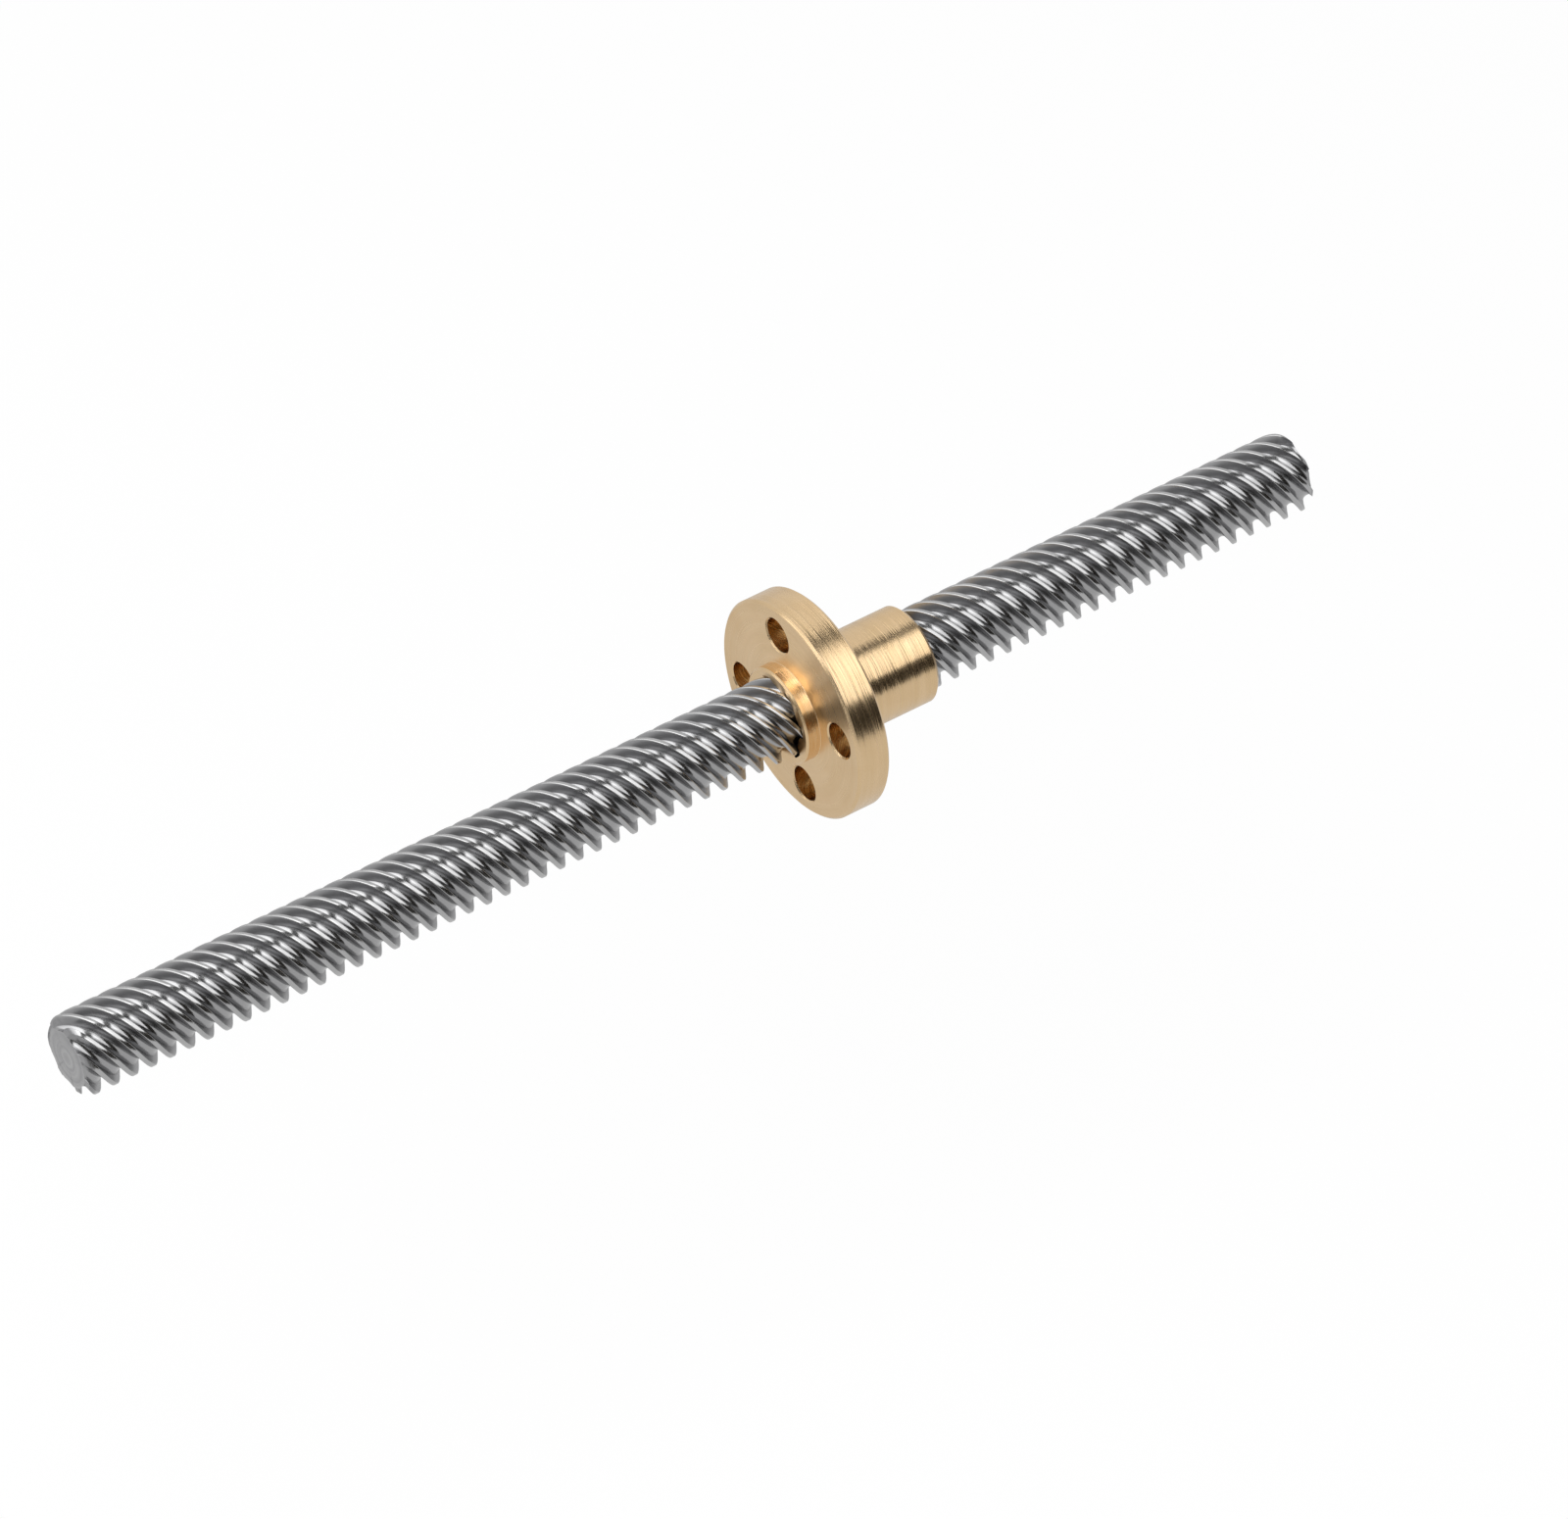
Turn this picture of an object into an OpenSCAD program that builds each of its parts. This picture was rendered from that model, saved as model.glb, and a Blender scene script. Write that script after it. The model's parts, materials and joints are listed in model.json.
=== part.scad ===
// Lead screw with its flanged nut.
// A steel rod carries a steep right-hand thread with several starts.
// A brass nut, turned from one piece of bar, rides on it and is bolted down by its flange.
// All sizes are in millimetres. The screw's axis is X, and +Z is up.
// The origin is the centre of the screw's coupling end.

/* [Lead screw] */
// Outer diameter, over the crests of the thread
screw_d = 8; // [6:0.5:10]
// Overall length of the screw
screw_len = 136; // [100:4:300]
// Distance along the axis from one crest to the next
pitch = 2; // [1.5:0.25:3]
// Number of threads that run side by side
starts = 7; // [2:1:8]
// Depth of a groove below the crests
thread_depth = 1.15; // [0.8:0.05:1.4]
// Width of a crest as a share of the pitch
crest_share = 0.26; // [0.2:0.01:0.45]
// Width of a groove's floor as a share of the pitch
root_share = 0.36; // [0.2:0.01:0.45]
// Turn of the thread about the axis, in degrees
thread_turn = 345; // [0:1:360]
// Chamfer cut on each end of the screw
screw_chamfer = 0.9; // [0.4:0.1:1.5]

/* [Nut flange] */
// Diameter of the round flange
flange_d = 22; // [20.5:0.5:30]
// Thickness of the flange
flange_t = 3.5; // [2:0.5:6]
// Chamfer on both edges of the flange's rim
rim_chamfer = 0.25; // [0.1:0.05:0.4]

/* [Bolt holes] */
// Diameter of the circle that the bolt holes lie on
bolt_circle_d = 16; // [14.5:0.25:17]
// Diameter of each bolt hole
bolt_hole_d = 3.5; // [2.5:0.1:4]
// Number of bolt holes
bolt_count = 4; // [3:1:6]
// Turn of the nut about the screw, in degrees
nut_turn = -16; // [-45:1:45]

/* [Nut body] */
// Length of the barrel behind the flange, which enters the carriage
barrel_len = 10; // [6:0.5:20]
// Wall of the barrel outside the thread
barrel_wall = 0.8; // [0.7:0.05:1.6]
// Chamfer on the barrel's far edge
barrel_chamfer = 0.35; // [0.1:0.05:0.45]
// Height of the boss in front of the flange
boss_len = 1.5; // [0.5:0.25:4]
// Wall of the boss outside the thread
boss_wall = 0.8; // [0.7:0.05:1.6]
// Chamfer on the boss's front edge
boss_chamfer = 0.2; // [0.1:0.05:0.45]
// Chamfer at both mouths of the threaded bore
mouth_chamfer = 0.25; // [0.1:0.05:0.3]
// Radial running clearance between the nut and the crests of the screw
running_gap = 0.05; // [0.01:0.01:0.1]

/* [Position] */
// Distance from the coupling end to the flange's seat, with the nut at rest
seat_x = 82; // [40:1:86]

/* [Hidden] */

steel = [0.66, 0.67, 0.69];
brass = [0.80, 0.64, 0.40];

// Thread form of one start, measured along the axis
lead = pitch * starts;
crest_r = screw_d / 2;
root_r = crest_r - thread_depth;
crest_w = crest_share * pitch;
root_w = root_share * pitch;
one_start = [
    [-crest_w / 2, crest_r],
    [crest_w / 2, crest_r],
    [(pitch - root_w) / 2, root_r],
    [(pitch + root_w) / 2, root_r]
];

// The same form all round, as [angle, radius] of the rod's cross-section
section = [
    for (s = [0 : starts - 1])
        for (p = one_start)
            [(s + p[0] / pitch) * 360 / starts, p[1]]
];

// Places of the rings along the rod: close at the chamfers, evenly spaced between them
ring_step = max(lead / 18, screw_len * len(section) / 5450);
even_rings = ceil((screw_len - 2 * screw_chamfer) / ring_step);
rings = concat(
    [0, screw_chamfer / 2],
    [for (i = [0 : even_rings]) screw_chamfer + (screw_len - 2 * screw_chamfer) * i / even_rings],
    [screw_len - screw_chamfer / 2, screw_len]
);

// Sizes of the nut that follow from the screw
bore_r = crest_r + running_gap;
barrel_r = bore_r + barrel_wall;
boss_r = bore_r + boss_wall;
flange_r = flange_d / 2;
nut_front = -flange_t - boss_len;

// Largest radius that the end chamfers leave at a place along the rod
function chamfer_limit(x) = crest_r - screw_chamfer + min(x, screw_len - x);

// One point of the thread's surface. A right-hand thread turns with X.
function thread_point(x, p) =
    let (r = min(p[1], chamfer_limit(x)), a = thread_turn + p[0] + 360 * x / lead)
    [x, r * cos(a), r * sin(a)];

module lead_screw() {
    n = len(section);
    last = len(rings) - 1;
    points = [
        for (x = rings)
            for (p = section)
                thread_point(x, p)
    ];
    sides = [
        for (i = [0 : last - 1])
            for (k = [0 : n - 1])
                let (a = i * n + k, b = i * n + (k + 1) % n)
                each [[a, a + n, b], [b, a + n, b + n]]
    ];
    near_end = [for (k = [0 : n - 1]) k];
    far_end = [for (k = [n - 1 : -1 : 0]) last * n + k];
    color(steel)
        polyhedron(points = points, faces = concat(sides, [near_end, far_end]), convexity = 10);
}

// Half section of the turned nut, as [radius, distance from the seat]
module nut_section() {
    polygon([
        [bore_r, nut_front + mouth_chamfer],
        [bore_r + mouth_chamfer, nut_front],
        [boss_r - boss_chamfer, nut_front],
        [boss_r, nut_front + boss_chamfer],
        [boss_r, -flange_t],
        [flange_r - rim_chamfer, -flange_t],
        [flange_r, rim_chamfer - flange_t],
        [flange_r, -rim_chamfer],
        [flange_r - rim_chamfer, 0],
        [barrel_r, 0],
        [barrel_r, barrel_len - barrel_chamfer],
        [barrel_r - barrel_chamfer, barrel_len],
        [bore_r + mouth_chamfer, barrel_len],
        [bore_r, barrel_len - mouth_chamfer]
    ]);
}

module bolt_holes() {
    for (i = [0 : bolt_count - 1])
        rotate([0, 0, 360 * i / bolt_count])
            translate([bolt_circle_d / 2, 0, -flange_t - 1])
                cylinder(d = bolt_hole_d, h = flange_t + 2, $fn = 48);
}

module flanged_nut() {
    color(brass)
        translate([seat_x, 0, 0])
            rotate([nut_turn, 0, 0])
                rotate([90, 0, 90])
                    difference() {
                        rotate_extrude($fn = 128)
                            nut_section();
                        bolt_holes();
                    }
}

lead_screw();
flanged_nut();
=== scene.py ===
# %% [markdown]
# # A lead screw with its flanged brass nut
# The object is a pair of machine parts. A steel rod carries a steep right-hand thread with
# seven starts, and a turned brass nut rides on it. When the screw turns, the nut travels along it.
#
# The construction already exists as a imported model, which is loaded here and never changed.
# This script dresses it: each piece gets a finer mesh in the same place, and a finish of its own.

# %% Load the frame
import json
import math

import bmesh
import bpy
from mathutils import Matrix, Quaternion, Vector


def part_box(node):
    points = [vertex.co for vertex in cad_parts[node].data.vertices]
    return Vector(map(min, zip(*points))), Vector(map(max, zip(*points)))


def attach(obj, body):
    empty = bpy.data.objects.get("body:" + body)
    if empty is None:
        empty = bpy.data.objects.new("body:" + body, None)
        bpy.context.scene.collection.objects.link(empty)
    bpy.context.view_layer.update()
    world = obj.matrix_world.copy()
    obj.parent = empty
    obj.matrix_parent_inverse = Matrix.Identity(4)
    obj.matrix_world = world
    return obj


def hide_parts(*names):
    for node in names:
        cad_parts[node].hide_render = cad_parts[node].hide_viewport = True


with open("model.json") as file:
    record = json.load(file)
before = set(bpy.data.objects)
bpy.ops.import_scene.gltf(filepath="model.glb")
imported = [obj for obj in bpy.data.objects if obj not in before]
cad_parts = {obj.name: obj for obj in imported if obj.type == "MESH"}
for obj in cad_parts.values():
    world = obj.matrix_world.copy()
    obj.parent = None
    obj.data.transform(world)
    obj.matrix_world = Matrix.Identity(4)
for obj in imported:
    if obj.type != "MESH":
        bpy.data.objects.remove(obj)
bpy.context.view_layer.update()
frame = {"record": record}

MM = 0.001
FULL_TURN = 2 * math.pi
scene = bpy.context.scene

# %% [markdown]
# The outer sizes come from the model's own boxes and from the record's mounts. The sizes of the
# thread, the boss and the flange's thickness repeat the model's source, because no box shows them.
# The screw lies along X with its coupling end at zero.

# %% Sizes of the screw
screw_lo, screw_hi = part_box("lead_screw")
SCREW_LEN = screw_hi.x - screw_lo.x
# The finer mesh stays this far inside the model's own, at each end and over the crests
END_INSET = 0.0005 * MM
CREST_INSET = 0.03 * MM
CREST_R = min(screw_hi.y, screw_hi.z) - CREST_INSET
THREAD_DEPTH = 1.15 * MM
ROOT_R = CREST_R - THREAD_DEPTH
PITCH = 2.0 * MM
STARTS = 7
LEAD = PITCH * STARTS
THREAD_TURN = math.radians(-15.0)
END_ROUND = 1.0 * MM
print("screw", round(SCREW_LEN / MM, 2), "mm long, crest radius", round(CREST_R / MM, 3))

# %% Sizes of the nut
nut_lo, nut_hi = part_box("flanged_nut")
mounts = {mount["name"]: mount for mount in frame["record"]["mounts"]}
bolts = mounts["flange_bolts"]["dims"]
NUT_FRONT = nut_lo.x
NUT_BACK = nut_hi.x
BOSS_LEN = 1.5 * MM
FLANGE_T = 3.5 * MM
FLANGE_FRONT = NUT_FRONT + BOSS_LEN
FLANGE_SEAT = FLANGE_FRONT + FLANGE_T
FLANGE_R = min(nut_hi.y, nut_hi.z, -nut_lo.y, -nut_lo.z)
BODY_R = mounts["nut_barrel"]["dims"]["r_mm"] * MM
BOLT_CIRCLE_R = bolts["pcd_mm"] / 2 * MM
BOLT_HOLE_R = bolts["hole_r_mm"] * MM
BOLT_COUNT = bolts["count"]
NUT_TURN = math.radians(-16.0)
print("nut from", round(NUT_FRONT / MM, 2), "to", round(NUT_BACK / MM, 2), "mm")
print("body radius", round(BODY_R / MM, 3), "flange radius", round(FLANGE_R / MM, 3))
print(BOLT_COUNT, "bolt holes on a circle of radius", round(BOLT_CIRCLE_R / MM, 3))

# %% [markdown]
# ## The thread
# A thread follows a rule: its section is one shape, turned as it moves along the rod. That is
# work for Geometry Nodes. A flat grid is bent into a tube, and each point's distance from the
# axis is read from a drawn curve, which holds the form of one groove and one crest. The same
# tree makes the screw and, with a little more room, the tap that cuts the nut.
#
# Rolling dies press the grooves into the rod. Their tips are round, so each groove has a round
# floor and steep sides, and each crest is a narrow flat with soft shoulders.

# %% Small helpers for node trees
# The kinds of socket that the trees use
FLOAT = "NodeSocketFloat"
INT = "NodeSocketInt"
VECTOR = "NodeSocketVector"
GEOMETRY = "NodeSocketGeometry"
MATERIAL = "NodeSocketMaterial"
OBJECT = "NodeSocketObject"


def link(tree, out, socket):
    tree.links.new(out, socket)


def set_or_link(tree, socket, value):
    """A number or a colour is set on the socket, and another node's output is linked to it."""
    if isinstance(value, (int, float, tuple)):
        socket.default_value = value
    else:
        link(tree, value, socket)


def new_tree(name, kind, inputs, outputs):
    """An empty node tree with named sockets, and the inner ends of those sockets."""
    tree = bpy.data.node_groups.new(name, kind)
    for side, sockets in (("INPUT", inputs), ("OUTPUT", outputs)):
        for socket_name, socket_kind in sockets.items():
            tree.interface.new_socket(socket_name, in_out=side, socket_type=socket_kind)
    given = tree.nodes.new("NodeGroupInput").outputs
    result = tree.nodes.new("NodeGroupOutput").inputs
    return tree, given, result


def math_node(tree, operation, a, b=None, c=None):
    """One Math node. a, b and c are numbers or sockets."""
    node = tree.nodes.new("ShaderNodeMath")
    node.operation = operation
    for socket, value in zip(node.inputs, (a, b, c)):
        if value is not None:
            set_or_link(tree, socket, value)
    return node.outputs[0]


def vector_node(tree, x, y, z):
    """Joins three numbers or sockets into a vector."""
    node = tree.nodes.new("ShaderNodeCombineXYZ")
    for socket, value in zip(node.inputs, (x, y, z)):
        set_or_link(tree, socket, value)
    return node.outputs[0]


def split_node(tree, vector):
    """The X, Y and Z of a vector."""
    node = tree.nodes.new("ShaderNodeSeparateXYZ")
    link(tree, vector, node.inputs[0])
    return node.outputs["X"], node.outputs["Y"], node.outputs["Z"]


# %% The thread's form, drawn as curves
# Half of one pitch, from the middle of a crest to the middle of a groove. Each pair is the place
# along the pitch and the height, which is 1 at the crest and 0 at the floor of the groove.
# The points lie close together where the surface bends, and far apart where it runs straight.
SCREW_HALF = [
    (0.0, 1.0), (0.086, 1.0), (0.110, 0.984), (0.130, 0.935),
    (0.195, 0.270), (0.205, 0.221), (0.225, 0.178), (0.361, 0.039), (0.5, 0.0),
]
TAP_HALF = [
    (0.0, 1.0), (0.126, 1.0), (0.150, 0.984), (0.168, 0.935),
    (0.230, 0.270), (0.240, 0.221), (0.260, 0.178), (0.375, 0.039), (0.5, 0.0),
]
POINTS_PER_START = 2 * (len(SCREW_HALF) - 1)
POINTS_ROUND = STARTS * POINTS_PER_START + 1
print("points of the form in one start:", POINTS_PER_START, "and all round:", POINTS_ROUND)


def whole_form(half):
    """Mirrors half a form into the whole of one pitch."""
    return half + [(1.0 - place, height) for place, height in reversed(half[:-1])]


def read_curve(tree, where, values):
    """A Float Curve through evenly spaced values, joined by straight lines."""
    node = tree.nodes.new("ShaderNodeFloatCurve")
    curve = node.mapping.curves[0]
    while len(curve.points) < len(values):
        curve.points.new(0.5, 0.5)
    for i, value in enumerate(values):
        curve.points[i].location = (i / (len(values) - 1), value)
        curve.points[i].handle_type = "VECTOR"
    node.mapping.update()
    link(tree, where, node.inputs["Value"])
    return node.outputs[0]


# %% Where a point of the thread lies
def place_along(tree, along, given):
    """How far along the rod a point lies. along runs from 0 to 1 over all rings."""
    # The first and last rings close the ends at the axis, so the rod runs between the second
    # ring and the last but one.
    last = math_node(tree, "SUBTRACT", given["Rings"], 1.0)
    ring = math_node(tree, "ROUND", math_node(tree, "MULTIPLY", along, last))
    rod_rings = math_node(tree, "SUBTRACT", last, 2.0)
    part = math_node(tree, "DIVIDE", math_node(tree, "SUBTRACT", ring, 1.0), rod_rings)
    part = math_node(tree, "MINIMUM", math_node(tree, "MAXIMUM", part, 0.0), 1.0)
    return math_node(tree, "MULTIPLY", part, given["Length"])


def round_ends(tree, radius, x, given):
    """A quarter circle rounds each end: no point lies further from the axis than the arc."""
    end_round = given["End round"]
    from_end = math_node(tree, "MINIMUM", x, math_node(tree, "SUBTRACT", given["Length"], x))
    inner = math_node(tree, "SUBTRACT", given["Crest radius"], end_round)
    to_go = math_node(tree, "MINIMUM", from_end, end_round)
    to_go = math_node(tree, "SUBTRACT", end_round, to_go)
    square = math_node(tree, "POWER", end_round, 2.0)
    rise = math_node(tree, "SUBTRACT", square, math_node(tree, "POWER", to_go, 2.0))
    rise = math_node(tree, "SQRT", math_node(tree, "MAXIMUM", rise, 0.0))
    return math_node(tree, "MINIMUM", radius, math_node(tree, "ADD", inner, rise))


def end_tree(tree, geometry, given, result):
    """Makes instances real and sets the finish, as the last steps of a Geometry Nodes tree."""
    real = tree.nodes.new("GeometryNodeRealizeInstances")
    link(tree, geometry, real.inputs[0])
    paint = tree.nodes.new("GeometryNodeSetMaterial")
    link(tree, real.outputs[0], paint.inputs["Geometry"])
    link(tree, given["Finish"], paint.inputs["Material"])
    link(tree, paint.outputs[0], result["Geometry"])


# %% The tree that winds a thread
WELD_GAP = 0.001 * MM
# Only the first and the last ring lie further than this from the middle of a run from 0 to 1
NEARLY_HALF = 0.49999
THREAD_INPUTS = {
    "Start": FLOAT, "Length": FLOAT, "Crest radius": FLOAT, "Root radius": FLOAT,
    "Lead": FLOAT, "Starts": FLOAT, "Turn": FLOAT, "End round": FLOAT,
    "Rings": INT, "Points round": INT, "Finish": MATERIAL,
}


def thread_tree(name, form):
    """A Geometry Nodes tree: a threaded rod along X with closed ends."""
    tree, given, result = new_tree(name, "GeometryNodeTree", THREAD_INPUTS, {"Geometry": GEOMETRY})
    grid = tree.nodes.new("GeometryNodeMeshGrid")
    grid.inputs["Size X"].default_value = 1.0
    grid.inputs["Size Y"].default_value = 1.0
    link(tree, given["Rings"], grid.inputs["Vertices X"])
    link(tree, given["Points round"], grid.inputs["Vertices Y"])

    # The grid lies round its own middle, so half its size is added to run from 0 to 1
    grid_place = tree.nodes.new("GeometryNodeInputPosition").outputs[0]
    grid_x, grid_y, _ = split_node(tree, grid_place)
    along = math_node(tree, "ADD", grid_x, 0.5)
    around = math_node(tree, "ADD", grid_y, 0.5)
    x = place_along(tree, along, given)

    # Which start this point belongs to, and which part of the form it is on, from 0 to 1
    steps = math_node(tree, "MULTIPLY", around, given["Starts"])
    start = math_node(tree, "FLOOR", steps)
    step = math_node(tree, "FRACT", steps)
    spacing = read_curve(tree, step, [place for place, height in form])
    around = math_node(tree, "ADD", start, spacing)
    around = math_node(tree, "DIVIDE", around, given["Starts"])
    shape = read_curve(tree, step, [height for place, height in form])
    depth = math_node(tree, "SUBTRACT", given["Crest radius"], given["Root radius"])
    radius = math_node(tree, "MULTIPLY_ADD", shape, depth, given["Root radius"])
    radius = round_ends(tree, radius, x, given)
    on_rod = math_node(tree, "COMPARE", along, 0.5, NEARLY_HALF)
    radius = math_node(tree, "MULTIPLY", radius, on_rod)

    # A right-hand thread turns with X
    world_x = math_node(tree, "ADD", x, given["Start"])
    turns = math_node(tree, "DIVIDE", world_x, given["Lead"])
    angle = math_node(tree, "MULTIPLY", math_node(tree, "ADD", turns, around), FULL_TURN)
    angle = math_node(tree, "ADD", angle, given["Turn"])
    y = math_node(tree, "MULTIPLY", radius, math_node(tree, "COSINE", angle))
    z = math_node(tree, "MULTIPLY", radius, math_node(tree, "SINE", angle))
    move = tree.nodes.new("GeometryNodeSetPosition")
    link(tree, grid.outputs["Mesh"], move.inputs["Geometry"])
    link(tree, vector_node(tree, world_x, y, z), move.inputs["Position"])

    weld = tree.nodes.new("GeometryNodeMergeByDistance")
    weld.inputs["Distance"].default_value = WELD_GAP
    link(tree, move.outputs[0], weld.inputs["Geometry"])
    end_tree(tree, weld.outputs[0], given, result)
    return tree


# %% Run a tree and keep the plain mesh
DOUBLES_GAP = 0.0005 * MM
SLIVER = 0.0002 * MM


def add_object(name, data):
    """A new object at the origin, in the scene."""
    thing = bpy.data.objects.new(name, data)
    scene.collection.objects.link(thing)
    return thing


def plain_mesh(thing):
    """The object's mesh as its modifiers leave it."""
    bpy.context.view_layer.update()
    depsgraph = bpy.context.evaluated_depsgraph_get()
    return bpy.data.meshes.new_from_object(thing.evaluated_get(depsgraph))


def mesh_from_tree(name, tree, values):
    """Evaluates a Geometry Nodes tree on an empty object and returns a plain mesh."""
    carrier = add_object(name + "_carrier", bpy.data.meshes.new(name + "_carrier"))
    modifier = carrier.modifiers.new("wind", "NODES")
    modifier.node_group = tree
    sockets = {s.name: s.identifier for s in tree.interface.items_tree if s.in_out == "INPUT"}
    for key, value in values.items():
        modifier[sockets[key]] = value
    mesh = plain_mesh(carrier)
    mesh.name = name
    carrier.modifiers.remove(modifier)
    bpy.data.objects.remove(carrier)
    return mesh


def face_outwards(mesh):
    """Merges doubles and turns every face of a closed mesh outwards."""
    bm = bmesh.new()
    bm.from_mesh(mesh)
    bmesh.ops.remove_doubles(bm, verts=bm.verts, dist=DOUBLES_GAP)
    bmesh.ops.dissolve_degenerate(bm, edges=bm.edges, dist=SLIVER)
    bmesh.ops.recalc_face_normals(bm, faces=bm.faces)
    open_edges = sum(1 for edge in bm.edges if len(edge.link_faces) != 2)
    volume = bm.calc_volume(signed=True)
    bm.to_mesh(mesh)
    bm.free()
    print(mesh.name, len(mesh.polygons), "faces, open edges", open_edges,
          "volume", round(volume / MM ** 3, 1), "mm3")


# %% [markdown]
# ## Finishes
# Both metals are seen mostly through what they reflect, so their colour is set by the metal and
# their character by the roughness and by fine marks. The marks follow how each piece was made.
# Turning leaves rings round the axis. Rolling leaves lines that run along the thread.
#
# Two shader groups hold those marks, so that each metal can use them with its own values.

# %% More helpers, for patterns
def noise_node(tree, vector, scale, detail):
    """A soft noise over a vector, mostly between 0.3 and 0.7."""
    node = tree.nodes.new("ShaderNodeTexNoise")
    node.inputs["Scale"].default_value = scale
    node.inputs["Detail"].default_value = detail
    link(tree, vector, node.inputs["Vector"])
    return node.outputs[0]


def spread(tree, value, low, high, low_in=0.3, high_in=0.7):
    """Spreads a noise, or another range, between two values."""
    node = tree.nodes.new("ShaderNodeMapRange")
    node.inputs["From Min"].default_value = low_in
    node.inputs["From Max"].default_value = high_in
    node.inputs["To Min"].default_value = low
    node.inputs["To Max"].default_value = high
    link(tree, value, node.inputs["Value"])
    return node.outputs[0]


def from_axis(tree, y, z):
    """How far a point lies from the X axis."""
    node = tree.nodes.new("ShaderNodeVectorMath")
    node.operation = "LENGTH"
    link(tree, vector_node(tree, 0.0, y, z), node.inputs[0])
    return node.outputs["Value"]


# %% A group for marks that the lathe leaves
MOTTLE_SCALE = 380.0


def ring_noise(tree, across, y, z, per_mm, wander, detail):
    """Noise that changes fast across the rings and slowly, by its wander, along them."""
    vector = vector_node(tree, math_node(tree, "MULTIPLY", across, per_mm),
                         math_node(tree, "MULTIPLY", y, wander / MM),
                         math_node(tree, "MULTIPLY", z, wander / MM))
    return noise_node(tree, vector, scale=1.0, detail=detail)


def lathe_marks_group():
    """Rings round the X axis. They follow x on a cylinder and the radius on a face."""
    tree, given, result = new_tree(
        "lathe_marks", "ShaderNodeTree",
        {"Position": VECTOR, "Fine per mm": FLOAT, "Broad per mm": FLOAT},
        {"Fine": FLOAT, "Broad": FLOAT, "Mottle": FLOAT})
    x, y, z = split_node(tree, given["Position"])
    across = math_node(tree, "ADD", x, from_axis(tree, y, z))
    across = math_node(tree, "MULTIPLY", across, 1.0 / MM)
    fine = ring_noise(tree, across, y, z, given["Fine per mm"], wander=0.05, detail=3.0)
    broad = ring_noise(tree, across, y, z, given["Broad per mm"], wander=0.10, detail=2.0)
    mottle = noise_node(tree, given["Position"], scale=MOTTLE_SCALE, detail=4.0)
    link(tree, fine, result["Fine"])
    link(tree, broad, result["Broad"])
    link(tree, mottle, result["Mottle"])
    return tree


LATHE_MARKS = lathe_marks_group()
print("group", LATHE_MARKS.name, "with", len(LATHE_MARKS.nodes), "nodes")

# %% A group for marks that the thread dies leave, and for masks that place painted shade on the thread
LINE_STRETCH = 90.0
PATCH_SCALE = 260.0
# Two heights on the thread, where 0 is the floor of a groove and 1 is the crest. A mask is 0 at
# the first height and 1 at the second.
BELOW_CREST = (0.97, 0.90)
ABOVE_FLOOR = (0.04, 0.22)
# Where the painted shade of the grooves begins and where it is full
GROOVE_SHADE_HEIGHTS = (0.95, 0.70)


def height_mask(tree, radius, heights):
    """A mask that grows between two heights on the thread."""
    none_at = ROOT_R + heights[0] * THREAD_DEPTH
    full_at = ROOT_R + heights[1] * THREAD_DEPTH
    return spread(tree, radius, 0.0, 1.0, none_at, full_at)


def rolling_marks_group():
    """Lines along the helix, and where on the thread a point lies."""
    tree, given, result = new_tree(
        "rolling_marks", "ShaderNodeTree",
        {"Position": VECTOR, "Line scale": FLOAT},
        {"Lines": FLOAT, "Flank": FLOAT, "Groove shade": FLOAT, "Patches": FLOAT})
    x, y, z = split_node(tree, given["Position"])
    # The angle less the thread's own turn is the same all along one start, so a noise over it
    # makes lines that follow the helix
    angle = math_node(tree, "ARCTAN2", z, y)
    turned = math_node(tree, "MULTIPLY", x, FULL_TURN / LEAD)
    angle = math_node(tree, "SUBTRACT", angle, turned)
    vector = vector_node(
        tree,
        math_node(tree, "MULTIPLY", math_node(tree, "COSINE", angle), given["Line scale"]),
        math_node(tree, "MULTIPLY", math_node(tree, "SINE", angle), given["Line scale"]),
        math_node(tree, "MULTIPLY", x, LINE_STRETCH))
    link(tree, noise_node(tree, vector, scale=1.0, detail=3.0), result["Lines"])

    # The flank lies between the crest and the round floor
    radius = from_axis(tree, y, z)
    flank = math_node(tree, "MULTIPLY", height_mask(tree, radius, BELOW_CREST),
                      height_mask(tree, radius, ABOVE_FLOOR))
    link(tree, flank, result["Flank"])
    # This mask places painted shade in the grooves
    link(tree, height_mask(tree, radius, GROOVE_SHADE_HEIGHTS), result["Groove shade"])
    patches = noise_node(tree, given["Position"], scale=PATCH_SCALE, detail=5.0)
    link(tree, patches, result["Patches"])
    return tree


ROLLING_MARKS = rolling_marks_group()
print("group", ROLLING_MARKS.name, "with", len(ROLLING_MARKS.nodes), "nodes")


# %% Helpers for materials
def new_finish(name):
    """A material, its tree, its shader and the place on the piece in its own coordinates."""
    material = bpy.data.materials.new(name)
    material.use_nodes = True
    tree = material.node_tree
    place = tree.nodes.new("ShaderNodeTexCoord").outputs["Object"]
    return material, tree, tree.nodes["Principled BSDF"], place


def add_marks(tree, group, place, values):
    """Puts a group of marks into a material, with that material's own values."""
    node = tree.nodes.new("ShaderNodeGroup")
    node.node_tree = group
    link(tree, place, node.inputs["Position"])
    for name, value in values.items():
        node.inputs[name].default_value = value
    return node.outputs


def face_mark(tree, name):
    """A mark that is stored on the faces of a piece: 1 on some of them, 0 on the others."""
    node = tree.nodes.new("ShaderNodeAttribute")
    node.attribute_name = name
    return node.outputs["Fac"]


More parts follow.
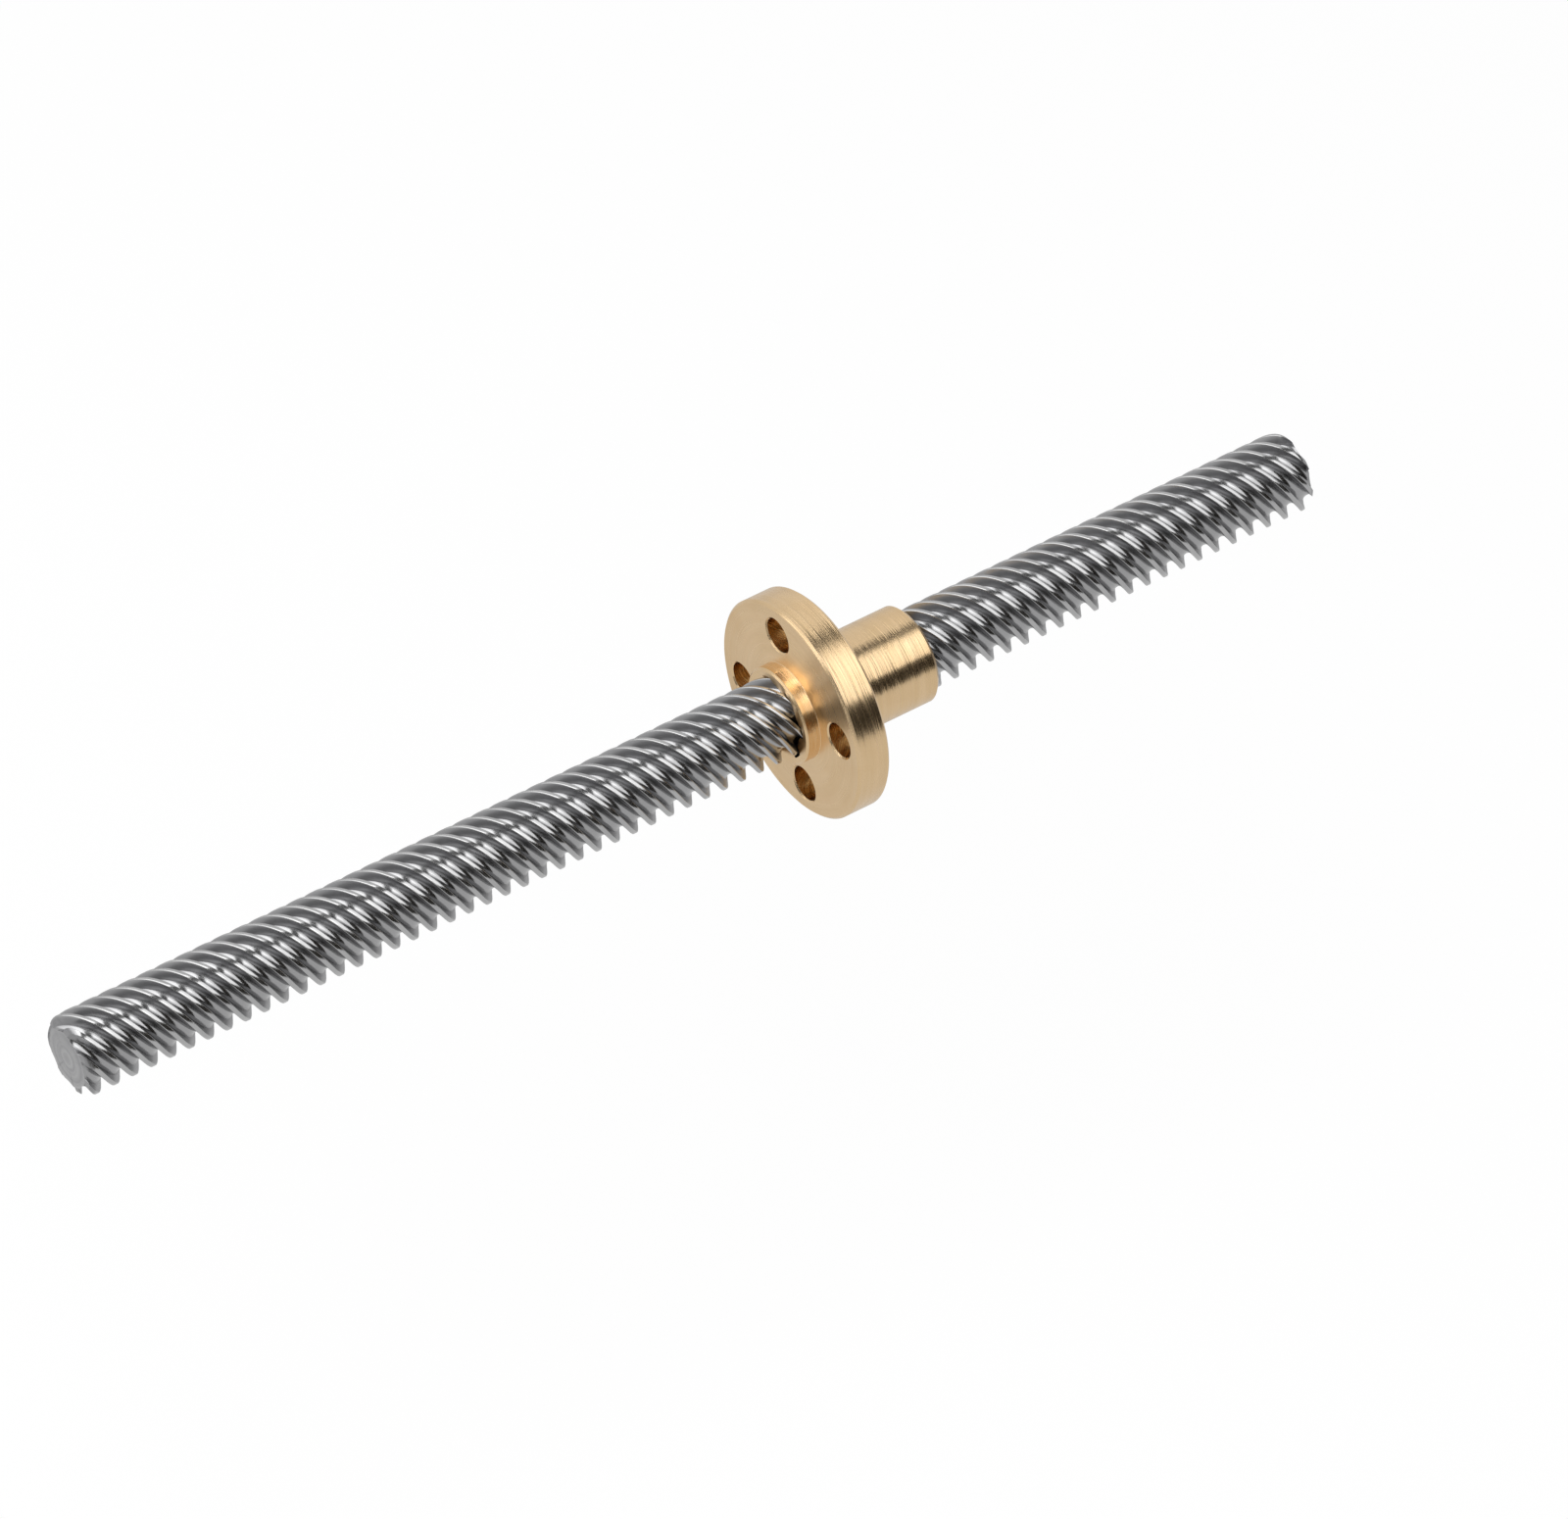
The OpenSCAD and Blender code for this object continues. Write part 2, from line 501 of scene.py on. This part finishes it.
def blend_colours(tree, amount, first, second):
    """Mixes two colours, which are given as numbers or sockets."""
    node = tree.nodes.new("ShaderNodeMix")
    node.data_type = "RGBA"
    # Of the node's sockets, inputs 6 and 7 and output 2 are the ones for colours
    link(tree, amount, node.inputs[0])
    set_or_link(tree, node.inputs[6], first)
    set_or_link(tree, node.inputs[7], second)
    return node.outputs[2]


def add_bump(tree, shader, height, strength, distance):
    node = tree.nodes.new("ShaderNodeBump")
    node.inputs["Strength"].default_value = strength
    node.inputs["Distance"].default_value = distance
    link(tree, height, node.inputs["Height"])
    link(tree, node.outputs[0], shader.inputs["Normal"])


# %% [markdown]
# ### Turned brass
# The nut is cut from brass bar on a lathe. The tool leaves rings all round it, with broad waves
# under them, and the stock has a light stain. Most of the rings are finer than a bump can show,
# so the brass also has an anisotropic sheen: its direction is worked out from the place, as the
# way round the axis. The walls of the drilled holes get a darker colour, which is painted shade
# inside the holes. The faces that were cut square are a little rougher, and their rings are
# shallower.

# %% Turned brass
BRASS_MARKS = {"Fine per mm": 8.0, "Broad per mm": 1.5}
BRASS_DARK = (0.89, 0.645, 0.37, 1.0)
BRASS_LIGHT = (0.95, 0.695, 0.415, 1.0)
BRASS_STAIN = (0.78, 0.51, 0.25, 1.0)
# The colour of the drilled holes' walls is painted shade
BRASS_HOLE_SHADE = (0.54, 0.32, 0.12, 1.0)
MOST_STAIN = 0.30
BRASS_SMOOTH = 0.20
BRASS_ROUGH = 0.29
BRASS_FACED_ROUGHER = 0.06
BRASS_FACED_CALMER = 0.94
BROAD_WAVES = 2.0
BRASS_BUMP = 0.035 * MM
RING_SHEEN = 0.6
QUARTER_TURN = 0.25


def add_ring_sheen(tree, shader, place):
    """The tool's rings spread a reflection across them and leave it sharp along them."""
    along_rings = tree.nodes.new("ShaderNodeVectorMath")
    along_rings.operation = "CROSS_PRODUCT"
    along_rings.inputs[0].default_value = (1.0, 0.0, 0.0)
    link(tree, place, along_rings.inputs[1])
    in_world = tree.nodes.new("ShaderNodeVectorTransform")
    in_world.vector_type = "VECTOR"
    in_world.convert_from = "OBJECT"
    in_world.convert_to = "WORLD"
    link(tree, along_rings.outputs[0], in_world.inputs[0])
    link(tree, in_world.outputs[0], shader.inputs["Tangent"])
    shader.inputs["Anisotropic"].default_value = RING_SHEEN
    shader.inputs["Anisotropic Rotation"].default_value = QUARTER_TURN


def turned_brass():
    material, tree, shader, place = new_finish("turned_brass")
    marks = add_marks(tree, LATHE_MARKS, place, BRASS_MARKS)
    tone = spread(tree, marks["Broad"], 0.0, 1.0)
    colour = blend_colours(tree, tone, BRASS_DARK, BRASS_LIGHT)
    stain = spread(tree, marks["Mottle"], 0.0, MOST_STAIN, low_in=0.45, high_in=0.80)
    colour = blend_colours(tree, stain, colour, BRASS_STAIN)
    # Painted shade: the walls of the drilled holes are darker
    colour = blend_colours(tree, face_mark(tree, "drilled"), colour, BRASS_HOLE_SHADE)
    link(tree, colour, shader.inputs["Base Color"])
    shader.inputs["Metallic"].default_value = 1.0

    faced = face_mark(tree, "faced")
    rough = spread(tree, marks["Fine"], BRASS_SMOOTH, BRASS_ROUGH)
    rough = math_node(tree, "MULTIPLY_ADD", faced, BRASS_FACED_ROUGHER, rough)
    link(tree, rough, shader.inputs["Roughness"])

    height = math_node(tree, "MULTIPLY_ADD", marks["Broad"], BROAD_WAVES, marks["Fine"])
    calm = math_node(tree, "MULTIPLY_ADD", faced, -BRASS_FACED_CALMER, 1.0)
    height = math_node(tree, "MULTIPLY", height, calm)
    add_bump(tree, shader, height, 1.0, BRASS_BUMP)
    add_ring_sheen(tree, shader, place)
    return material


BRASS = turned_brass()
print("finish", BRASS.name)

# %% [markdown]
# ### Rolled steel
# The screw is rolled between dies, which press its surface smooth and leave faint lines along the
# grooves. The grooves are painted a little darker and the steep flanks darker still, which is
# painted shade in the grooves; the flanks are also rougher. Its two ends are cut off square, so
# they show the rings of the cut instead, and a mark on their faces swaps one look for the other.

# %% Rolled steel
STEEL_LINES = {"Line scale": 16.0}
STEEL_CUT_MARKS = {"Fine per mm": 5.0, "Broad per mm": 2.0}
STEEL_DARK = (0.53, 0.53, 0.535, 1.0)
STEEL_LIGHT = (0.62, 0.62, 0.62, 1.0)
# The two darker colours below are painted shade: a little in the grooves, and more on the flanks
STEEL_GROOVE_SHADE = (0.46, 0.46, 0.465, 1.0)
STEEL_FLANK_SHADE = (0.26, 0.26, 0.27, 1.0)
STEEL_CUT_DARK = (0.40, 0.40, 0.41, 1.0)
STEEL_CUT_LIGHT = (0.60, 0.60, 0.60, 1.0)
FLANK_SHADE_AMOUNT = 0.4
STEEL_SMOOTH = 0.12
STEEL_ROUGH = 0.22
FLANK_ROUGHER = 0.15
STEEL_FACED_ROUGHER = 0.16
STEEL_BUMP = 0.02 * MM
STEEL_BUMP_STRENGTH = 0.35


def rolled_steel():
    material, tree, shader, place = new_finish("rolled_steel")
    marks = add_marks(tree, ROLLING_MARKS, place, STEEL_LINES)
    cut_marks = add_marks(tree, LATHE_MARKS, place, STEEL_CUT_MARKS)
    faced = face_mark(tree, "faced")

    tone = spread(tree, marks["Patches"], 0.0, 1.0)
    colour = blend_colours(tree, tone, STEEL_DARK, STEEL_LIGHT)
    # Painted shade: the grooves are darker, and the flanks darker still
    colour = blend_colours(tree, marks["Groove shade"], colour, STEEL_GROOVE_SHADE)
    painted_flank_shade = math_node(tree, "MULTIPLY", marks["Flank"], FLANK_SHADE_AMOUNT)
    colour = blend_colours(tree, painted_flank_shade, colour, STEEL_FLANK_SHADE)
    cut_tone = spread(tree, cut_marks["Broad"], 0.0, 1.0)
    cut_colour = blend_colours(tree, cut_tone, STEEL_CUT_DARK, STEEL_CUT_LIGHT)
    colour = blend_colours(tree, faced, colour, cut_colour)
    link(tree, colour, shader.inputs["Base Color"])
    shader.inputs["Metallic"].default_value = 1.0

    rough = spread(tree, marks["Lines"], STEEL_SMOOTH, STEEL_ROUGH)
    rough = math_node(tree, "MULTIPLY_ADD", marks["Flank"], FLANK_ROUGHER, rough)
    rough = math_node(tree, "MULTIPLY_ADD", faced, STEEL_FACED_ROUGHER, rough)
    link(tree, rough, shader.inputs["Roughness"])

    height = tree.nodes.new("ShaderNodeMix")
    link(tree, faced, height.inputs["Factor"])
    link(tree, marks["Lines"], height.inputs["A"])
    link(tree, cut_marks["Fine"], height.inputs["B"])
    add_bump(tree, shader, height.outputs["Result"], STEEL_BUMP_STRENGTH, STEEL_BUMP)
    return material


STEEL = rolled_steel()
print("finish", STEEL.name)

# %% [markdown]
# ## The lead screw
# The real screw is a rod that is rolled, cut to length and rounded at its ends. The tree winds
# the whole of it in one go. Enough rings are used that the thread's silhouette stays smooth, and
# the mesh is checked to be closed before it stands for the screw.

# %% Wind the screw
SCREW_RINGS = 860
screw_tree = thread_tree("rolled_thread", whole_form(SCREW_HALF))
screw_mesh = mesh_from_tree("lead_screw_thread", screw_tree, {
    "Start": screw_lo.x + END_INSET,
    "Length": SCREW_LEN - 2 * END_INSET,
    "Crest radius": CREST_R,
    "Root radius": ROOT_R,
    "Lead": LEAD,
    "Starts": float(STARTS),
    "Turn": THREAD_TURN,
    "End round": END_ROUND,
    "Rings": SCREW_RINGS,
    "Points round": POINTS_ROUND,
    "Finish": STEEL,
})
face_outwards(screw_mesh)

# %% Soft and sharp edges, and marks for the finish
SCREW_SHARP_DEG = 50
NUT_SHARP_DEG = 32
# The least part of a normal that runs along the axis, for a face that was cut square to it
SQUARE_TO_AXIS = 0.95


def finish_edges(piece, sharp_deg):
    """Smooth shading with sharp edges where faces meet at more than the given angle."""
    mesh = piece.data
    mesh.polygons.foreach_set("use_smooth", [True] * len(mesh.polygons))
    mesh.set_sharp_from_angle(angle=math.radians(sharp_deg))
    mesh.update()


def mark_faces(mesh, name, rule):
    """Stores a mark for the finish on every face: 1 where the rule holds, 0 elsewhere."""
    values = [1.0 if rule(face) else 0.0 for face in mesh.polygons]
    attribute = mesh.attributes.new(name, "FLOAT", "FACE")
    attribute.data.foreach_set("value", values)
    print(mesh.name, name, "faces", int(sum(values)))


def cut_square(face):
    """True for a face that a tool cut square to the axis."""
    return abs(face.normal.x) > SQUARE_TO_AXIS


screw = add_object("lead_screw_rolled", screw_mesh)
mark_faces(screw_mesh, "faced", cut_square)
finish_edges(screw, SCREW_SHARP_DEG)
print("screw piece", len(screw_mesh.polygons), "faces")

# %% [markdown]
# ## The nut
# The real nut is turned from bar on a lathe, then drilled, then tapped. It is made here in the
# same order: a profile is spun round the axis, four holes are drilled through the flange, and a
# cutter of the thread's own form is taken out of the middle. The corners have the small breaks
# that a lathe tool leaves, because a corner with no break never catches the light.

# %% Profile of the turned nut
# Steps of a corner's break: none, one straight chamfer, or a small round
SHARP, CHAMFER, ROUND = 0, 1, 3
BOSS_EDGE = 0.20 * MM
RIM_EDGE = 0.25 * MM
BARREL_EDGE = 0.35 * MM
INNER_CORNER = 0.10 * MM
PILOT_UNDER_ROOT = 0.25 * MM
MOUTH_OVER_CREST = 0.22 * MM
MOUTH_SINK = 0.45 * MM


def break_corner(before, corner, after, size, steps):
    """Points that replace a sharp corner by a chamfer or a small round."""
    if steps == SHARP:
        return [Vector(corner)]
    a = (Vector(before) - Vector(corner)).normalized() * size
    b = (Vector(after) - Vector(corner)).normalized() * size
    points = []
    for i in range(steps + 1):
        t = i / steps
        points.append(Vector(corner) + a * (1 - t) ** 2 + b * t ** 2)
    return points


def nut_profile():
    """(radius, x) points from the bore at the front, round the outside, to the bore at the back."""
    pilot = ROOT_R - PILOT_UNDER_ROOT
    mouth = CREST_R + MOUTH_OVER_CREST
    corners = [
        (pilot, NUT_FRONT + MOUTH_SINK, 0.0, SHARP),
        (mouth, NUT_FRONT, 0.0, SHARP),
        (BODY_R, NUT_FRONT, BOSS_EDGE, CHAMFER),
        (BODY_R, FLANGE_FRONT, INNER_CORNER, ROUND),
        (FLANGE_R, FLANGE_FRONT, RIM_EDGE, CHAMFER),
        (FLANGE_R, FLANGE_SEAT, RIM_EDGE, CHAMFER),
        (BODY_R, FLANGE_SEAT, INNER_CORNER, ROUND),
        (BODY_R, NUT_BACK, BARREL_EDGE, CHAMFER),
        (mouth, NUT_BACK, 0.0, SHARP),
        (pilot, NUT_BACK - MOUTH_SINK, 0.0, SHARP),
    ]
    points = []
    for i, (r, x, size, steps) in enumerate(corners):
        before = corners[i - 1]
        after = corners[(i + 1) % len(corners)]
        points += break_corner(before[:2], (r, x), after[:2], size, steps)
    return points


# %% Spin a profile round X
NUT_SIDES = 240


def point_round_x(radius, x, step, steps):
    """A point at a radius from the X axis, after some steps of one full turn."""
    angle = FULL_TURN * step / steps
    return (x, radius * math.cos(angle), radius * math.sin(angle))


def mesh_from_bmesh(name, bm):
    mesh = bpy.data.meshes.new(name)
    bm.to_mesh(mesh)
    bm.free()
    return mesh


def spun_mesh(name, profile, sides):
    """A ring-shaped solid: the profile closes on itself through its first point."""
    bm = bmesh.new()
    rows = []
    for k in range(sides):
        rows.append([bm.verts.new(point_round_x(r, x, k, sides)) for r, x in profile])
    for k in range(sides):
        here = rows[k]
        there = rows[(k + 1) % sides]
        for i in range(len(profile)):
            j = (i + 1) % len(profile)
            bm.faces.new((here[i], here[j], there[j], there[i]))
    return mesh_from_bmesh(name, bm)


nut_mesh = spun_mesh("flanged_nut_turned", nut_profile(), NUT_SIDES)
face_outwards(nut_mesh)
nut = add_object("flanged_nut_turned", nut_mesh)

# %% [markdown]
# ### Four bolt holes
# The flange is bolted to a carriage through plain holes, drilled evenly on a circle. A repeat is
# work for Geometry Nodes: one drill is modelled, and a tree places as many as the record asks for.
# The drill widens a little at both faces of the flange, so that it also breaks the holes' edges.

# %% One drill
DRILL_SIDES = 72
HOLE_EDGE = 0.14 * MM
DRILL_REACH = 0.3 * MM


def drill_profile():
    """(radius, x) of a drill that also breaks the hole's edge at each face of the flange."""
    wide = BOLT_HOLE_R + HOLE_EDGE + DRILL_REACH
    return [
        (wide, FLANGE_FRONT - DRILL_REACH),
        (BOLT_HOLE_R, FLANGE_FRONT + HOLE_EDGE),
        (BOLT_HOLE_R, FLANGE_SEAT - HOLE_EDGE),
        (wide, FLANGE_SEAT + DRILL_REACH),
    ]


def drill_mesh(name):
    """A closed cutter along X, spun from the drill's profile."""
    bm = bmesh.new()
    rings = []
    for r, x in drill_profile():
        ring = [point_round_x(r, x, k, DRILL_SIDES) for k in range(DRILL_SIDES)]
        rings.append([bm.verts.new(point) for point in ring])
    for one, two in zip(rings, rings[1:]):
        for k in range(DRILL_SIDES):
            after = (k + 1) % DRILL_SIDES
            bm.faces.new((one[k], one[after], two[after], two[k]))
    bm.faces.new(rings[0])
    bm.faces.new(rings[-1])
    bmesh.ops.recalc_face_normals(bm, faces=bm.faces)
    return mesh_from_bmesh(name, bm)


one_drill = add_object("one_drill", drill_mesh("one_drill"))
print("drill", len(one_drill.data.polygons), "faces")

# %% The tree that repeats the drill
PATTERN_INPUTS = {
    "Drill": OBJECT, "Count": INT, "Circle radius": FLOAT, "Turn": FLOAT, "Finish": MATERIAL,
}


def drill_pattern_tree():
    """A Geometry Nodes tree that repeats one drill evenly round the X axis."""
    tree, given, result = new_tree(
        "drill_pattern", "GeometryNodeTree", PATTERN_INPUTS, {"Geometry": GEOMETRY})
    index = tree.nodes.new("GeometryNodeInputIndex").outputs[0]
    part = math_node(tree, "DIVIDE", index, given["Count"])
    angle = math_node(tree, "MULTIPLY_ADD", part, FULL_TURN, given["Turn"])
    y = math_node(tree, "MULTIPLY", given["Circle radius"], math_node(tree, "COSINE", angle))
    z = math_node(tree, "MULTIPLY", given["Circle radius"], math_node(tree, "SINE", angle))
    points = tree.nodes.new("GeometryNodePoints")
    link(tree, given["Count"], points.inputs["Count"])
    link(tree, vector_node(tree, 0.0, y, z), points.inputs["Position"])

    source = tree.nodes.new("GeometryNodeObjectInfo")
    link(tree, given["Drill"], source.inputs["Object"])
    repeat = tree.nodes.new("GeometryNodeInstanceOnPoints")
    link(tree, points.outputs[0], repeat.inputs["Points"])
    link(tree, source.outputs["Geometry"], repeat.inputs["Instance"])
    end_tree(tree, repeat.outputs[0], given, result)
    return tree


# %% Drill the holes
def cut(piece, cutter):
    """Takes a closed cutter out of a piece, and removes the cutter."""
    modifier = piece.modifiers.new("cut", "BOOLEAN")
    modifier.operation = "DIFFERENCE"
    modifier.solver = "EXACT"
    modifier.object = cutter
    mesh = plain_mesh(piece)
    piece.modifiers.remove(modifier)
    piece.data = mesh
    bpy.data.objects.remove(cutter)


drills_mesh = mesh_from_tree("drills", drill_pattern_tree(), {
    "Drill": one_drill,
    "Count": BOLT_COUNT,
    "Circle radius": BOLT_CIRCLE_R,
    "Turn": NUT_TURN,
    "Finish": BRASS,
})
bpy.data.objects.remove(one_drill)
cut(nut, add_object("drills", drills_mesh))
print("drilled nut", len(nut.data.polygons), "faces")

# %% [markdown]
# ### The thread inside the nut
# A tap is a screw with cutting edges, a little larger than the screw that the nut will ride on.
# The thread's own tree winds it, with room over the crests and at the floor, and it runs out
# beyond both ends of the nut so that it cuts right through.

# %% Tap the nut
TAP_RINGS = 110
TAP_OVERRUN = 1.0 * MM
CREST_ROOM = 0.2 * MM
ROOT_ROOM = 0.3 * MM
tap_tree = thread_tree("tap_thread", whole_form(TAP_HALF))
tap_mesh = mesh_from_tree("tap", tap_tree, {
    "Start": NUT_FRONT - TAP_OVERRUN,
    "Length": NUT_BACK - NUT_FRONT + 2 * TAP_OVERRUN,
    "Crest radius": CREST_R + CREST_ROOM,
    "Root radius": ROOT_R + ROOT_ROOM,
    "Lead": LEAD,
    "Starts": float(STARTS),
    "Turn": THREAD_TURN,
    "End round": 0.0,
    "Rings": TAP_RINGS,
    "Points round": POINTS_ROUND,
    "Finish": BRASS,
})
face_outwards(tap_mesh)
cut(nut, add_object("tap", tap_mesh))
nut.data.name = "flanged_nut_tapped"
face_outwards(nut.data)
nut.data.materials.clear()
nut.data.materials.append(BRASS)

# %% Marks and edges of the nut
# How far outside the hole's radius the middle of a wall's face may lie
HOLE_WALL = 0.05 * MM
# A wall faces sideways, so less than this part of its normal runs along the axis
SIDEWAYS = 0.5


def in_bolt_hole(face):
    """True for a face on the wall of one of the bolt holes."""
    middle = face.center
    one_part = FULL_TURN / BOLT_COUNT
    turn = (math.atan2(middle.z, middle.y) - NUT_TURN) % one_part
    turn = min(turn, one_part - turn)
    r = math.hypot(middle.y, middle.z)
    from_hole = math.hypot(r * math.cos(turn) - BOLT_CIRCLE_R, r * math.sin(turn))
    return from_hole < BOLT_HOLE_R + HOLE_WALL and abs(face.normal.x) < SIDEWAYS


# The drilled mark places the painted shade on the holes' walls
mark_faces(nut.data, "drilled", in_bolt_hole)
mark_faces(nut.data, "faced", cut_square)
finish_edges(nut, NUT_SHARP_DEG)
print("tapped nut", len(nut.data.polygons), "faces")

# %% [markdown]
# ## The moving bodies
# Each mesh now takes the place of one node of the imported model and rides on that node's body, so
# the nut moves along the screw when the joint does.

# %% Put the pieces on their bodies
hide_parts("lead_screw")
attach(screw, "screw")
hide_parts("flanged_nut")
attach(nut, "nut")
print("pieces", screw.name, "and", nut.name)

# %% [markdown]
# ## The studio
# Polished metal shows its room, so the room is built with care. A white table and a white
# background give the even tone. A large soft box overhead gives the bright bands that run along
# the barrel, the rim and the thread, and a second one, towards the coupling end, lights the
# grooves. Dark cards give the bands their edges: one in front, one past each end of the screw,
# and a narrow bar that slants across the soft boxes and leaves the dark line between two
# highlights. The camera can't see the boxes or the cards, only what they do to the metal.

# %% Table
# The studio stands round this point of the screw's axis, just in front of the nut
CENTRE = Vector((0.076, 0.0, 0.0))
FLOOR_Z = -0.06
# How far the table reaches to each side, in metres
FLOOR_HALF = 6
TABLE_DARK = (0.90, 0.90, 0.90, 1.0)
TABLE_LIGHT = (0.92, 0.92, 0.92, 1.0)
TABLE_GRAIN = 40.0
TABLE_GLOW = 0.88
GLOW_SEEN = 1.0
GLOW_MIRRORED = 0.60


def plane_mesh(name, corners):
    mesh = bpy.data.meshes.new(name)
    mesh.from_pydata(corners, [], [(0, 1, 2, 3)])
    return mesh


def seen_directly(path):
    """1 for a ray from the camera, also through glass, and 0 for any other."""
    return math_node(path.id_data, "MAXIMUM", path.outputs["Is Camera Ray"],
                     path.outputs["Is Transmission Ray"])


def table_finish():
    """A white table top. It glows for the camera and in mirrors, and is plain paint otherwise."""
    material, tree, shader, place = new_finish("white_table")
    noise = noise_node(tree, place, scale=TABLE_GRAIN, detail=2.0)
    link(tree, blend_colours(tree, noise, TABLE_DARK, TABLE_LIGHT), shader.inputs["Base Color"])
    shader.inputs["Roughness"].default_value = 0.9
    shader.inputs["Specular IOR Level"].default_value = 0.0
    path = tree.nodes.new("ShaderNodeLightPath")
    direct = seen_directly(path)
    glow = tree.nodes.new("ShaderNodeEmission")
    strength = math_node(tree, "MULTIPLY_ADD", direct, GLOW_SEEN - GLOW_MIRRORED, GLOW_MIRRORED)
    link(tree, strength, glow.inputs["Strength"])
    seen = math_node(tree, "MAXIMUM", direct, path.outputs["Is Glossy Ray"])
    mix = tree.nodes.new("ShaderNodeMixShader")
    link(tree, math_node(tree, "MULTIPLY", seen, TABLE_GLOW), mix.inputs[0])
    link(tree, shader.outputs[0], mix.inputs[1])
    link(tree, glow.outputs[0], mix.inputs[2])
    link(tree, mix.outputs[0], tree.nodes["Material Output"].inputs["Surface"])
    return material


floor_mesh = plane_mesh("floor", [
    (-FLOOR_HALF, -FLOOR_HALF, FLOOR_Z), (FLOOR_HALF, -FLOOR_HALF, FLOOR_Z),
    (FLOOR_HALF, FLOOR_HALF, FLOOR_Z), (-FLOOR_HALF, FLOOR_HALF, FLOOR_Z)])
floor_mesh.materials.append(table_finish())
floor = add_object("floor", floor_mesh)
print("table", round(-FLOOR_Z / MM), "mm under the screw's axis")

# %% White background
WORLD_LIGHT = 0.5
WORLD_MIRRORED_EXTRA = 0.18


def white_world():
    """White to the camera, and a dimmer light to everything else."""
    world = bpy.data.worlds.new("studio")
    world.use_nodes = True
    tree = world.node_tree
    back = tree.nodes["Background"]
    back.inputs["Color"].default_value = (1.0, 1.0, 1.0, 1.0)
    path = tree.nodes.new("ShaderNodeLightPath")
    level = math_node(tree, "MULTIPLY_ADD", path.outputs["Is Glossy Ray"],
                      WORLD_MIRRORED_EXTRA, WORLD_LIGHT)
    level = math_node(tree, "MAXIMUM", level, seen_directly(path))
    link(tree, level, back.inputs["Strength"])
    return world


scene.world = white_world()
print("world", scene.world.name)


# %% Helpers for soft boxes and cards
# Round the screw, angles are measured from +Y towards +Z, so 90 degrees is straight up.
def round_axis(angle_deg, distance):
    angle = math.radians(angle_deg)
    return Vector((0.0, math.cos(angle), math.sin(angle))) * distance


def soft_box(name, angle_deg, width, length, distance, x, radiance):
    """A lamp that faces the screw's axis from an angle round it, with its length along X."""
    lamp = bpy.data.lights.new(name, "AREA")
    lamp.shape = "RECTANGLE"
    lamp.size = width
    lamp.size_y = length
    lamp.energy = radiance * math.pi * width * length
    holder = add_object(name, lamp)
    holder.location = CENTRE + Vector((x, 0, 0)) + round_axis(angle_deg, distance)
    along = Vector((1, 0, 0))
    away = round_axis(angle_deg, 1.0)
    turn = Matrix((along.cross(away), along, away)).transposed()
    holder.rotation_mode = "QUATERNION"
    holder.rotation_quaternion = turn.to_quaternion()
    holder.visible_camera = False
    print("soft box", name, "at", angle_deg, "degrees")


def dull_finish(name, colour):
    material = bpy.data.materials.new(name)
    material.use_nodes = True
    shader = material.node_tree.nodes["Principled BSDF"]
    shader.inputs["Base Color"].default_value = (*colour, 1.0)
    shader.inputs["Roughness"].default_value = 1.0
    shader.inputs["Specular IOR Level"].default_value = 0.0
    return material


def card(name, low_deg, high_deg, distance, x0, x1, colour, slant_deg=0.0):
    """A flat card along X, seen from the screw between two angles at x0. It slants towards x1."""
    corners = []
    for x, angle_deg in ((x0, low_deg), (x1, low_deg + slant_deg),
                         (x1, high_deg + slant_deg), (x0, high_deg)):
        corners.append(CENTRE + (Vector((x, 0, 0)) + round_axis(angle_deg, distance)))
    mesh = plane_mesh(name, corners)
    mesh.materials.append(dull_finish(name, colour))
    piece = add_object(name, mesh)
    piece.visible_camera = False
    piece.visible_diffuse = False
    piece.visible_shadow = False
    print("card", name, "from", low_deg, "to", high_deg, "degrees")


# %% Place the soft boxes and the cards
soft_box("overhead_box", angle_deg=111, width=0.97, length=1.25, distance=0.60, x=-0.125,
         radiance=0.72)
soft_box("side_box", angle_deg=81, width=1.36, length=0.84, distance=0.60, x=-0.335,
         radiance=0.82)
card("front_card", low_deg=149, high_deg=186, distance=0.62, x0=-1.2, x1=1.6,
     colour=(0.035, 0.032, 0.028))
card("slanting_bar", low_deg=136, high_deg=157.5, distance=0.56, x0=-0.85, x1=0.60,
     colour=(0.13, 0.13, 0.13), slant_deg=-86)
card("left_card", low_deg=107, high_deg=165, distance=0.55, x0=-2.5, x1=-0.45,
     colour=(0.10, 0.10, 0.10))
card("far_card", low_deg=60, high_deg=150, distance=0.62, x0=0.52, x1=1.6,
     colour=(0.05, 0.05, 0.05))

# %% [markdown]
# ## The camera
# A long lens from the front left and above. The nut stands a little right of the middle and the
# screw runs from the near lower left to the far upper right.

# %% Camera
AZIMUTH = math.radians(-34.958)
ELEVATION = math.radians(44.156)
ROLL = math.radians(0.159)
camera_data = bpy.data.cameras.new("camera")
camera_data.lens = 253.6
camera_data.sensor_width = 36.0
camera_data.clip_start = 0.05
camera_data.clip_end = 50.0
camera = add_object("camera", camera_data)
camera.location = Vector((-341.2, -599.3, 704.1)) * MM
camera.rotation_mode = "QUATERNION"
towards_camera = Vector((math.sin(AZIMUTH) * math.cos(ELEVATION),
                         -math.cos(AZIMUTH) * math.cos(ELEVATION), math.sin(ELEVATION)))
aim = (-towards_camera).to_track_quat("-Z", "Y")
camera.rotation_quaternion = aim @ Quaternion((0, 0, 1), ROLL)
scene.camera = camera
scene.view_settings.view_transform = "Standard"
print("camera", round((camera.location - CENTRE).length / MM), "mm from the middle of the scene")
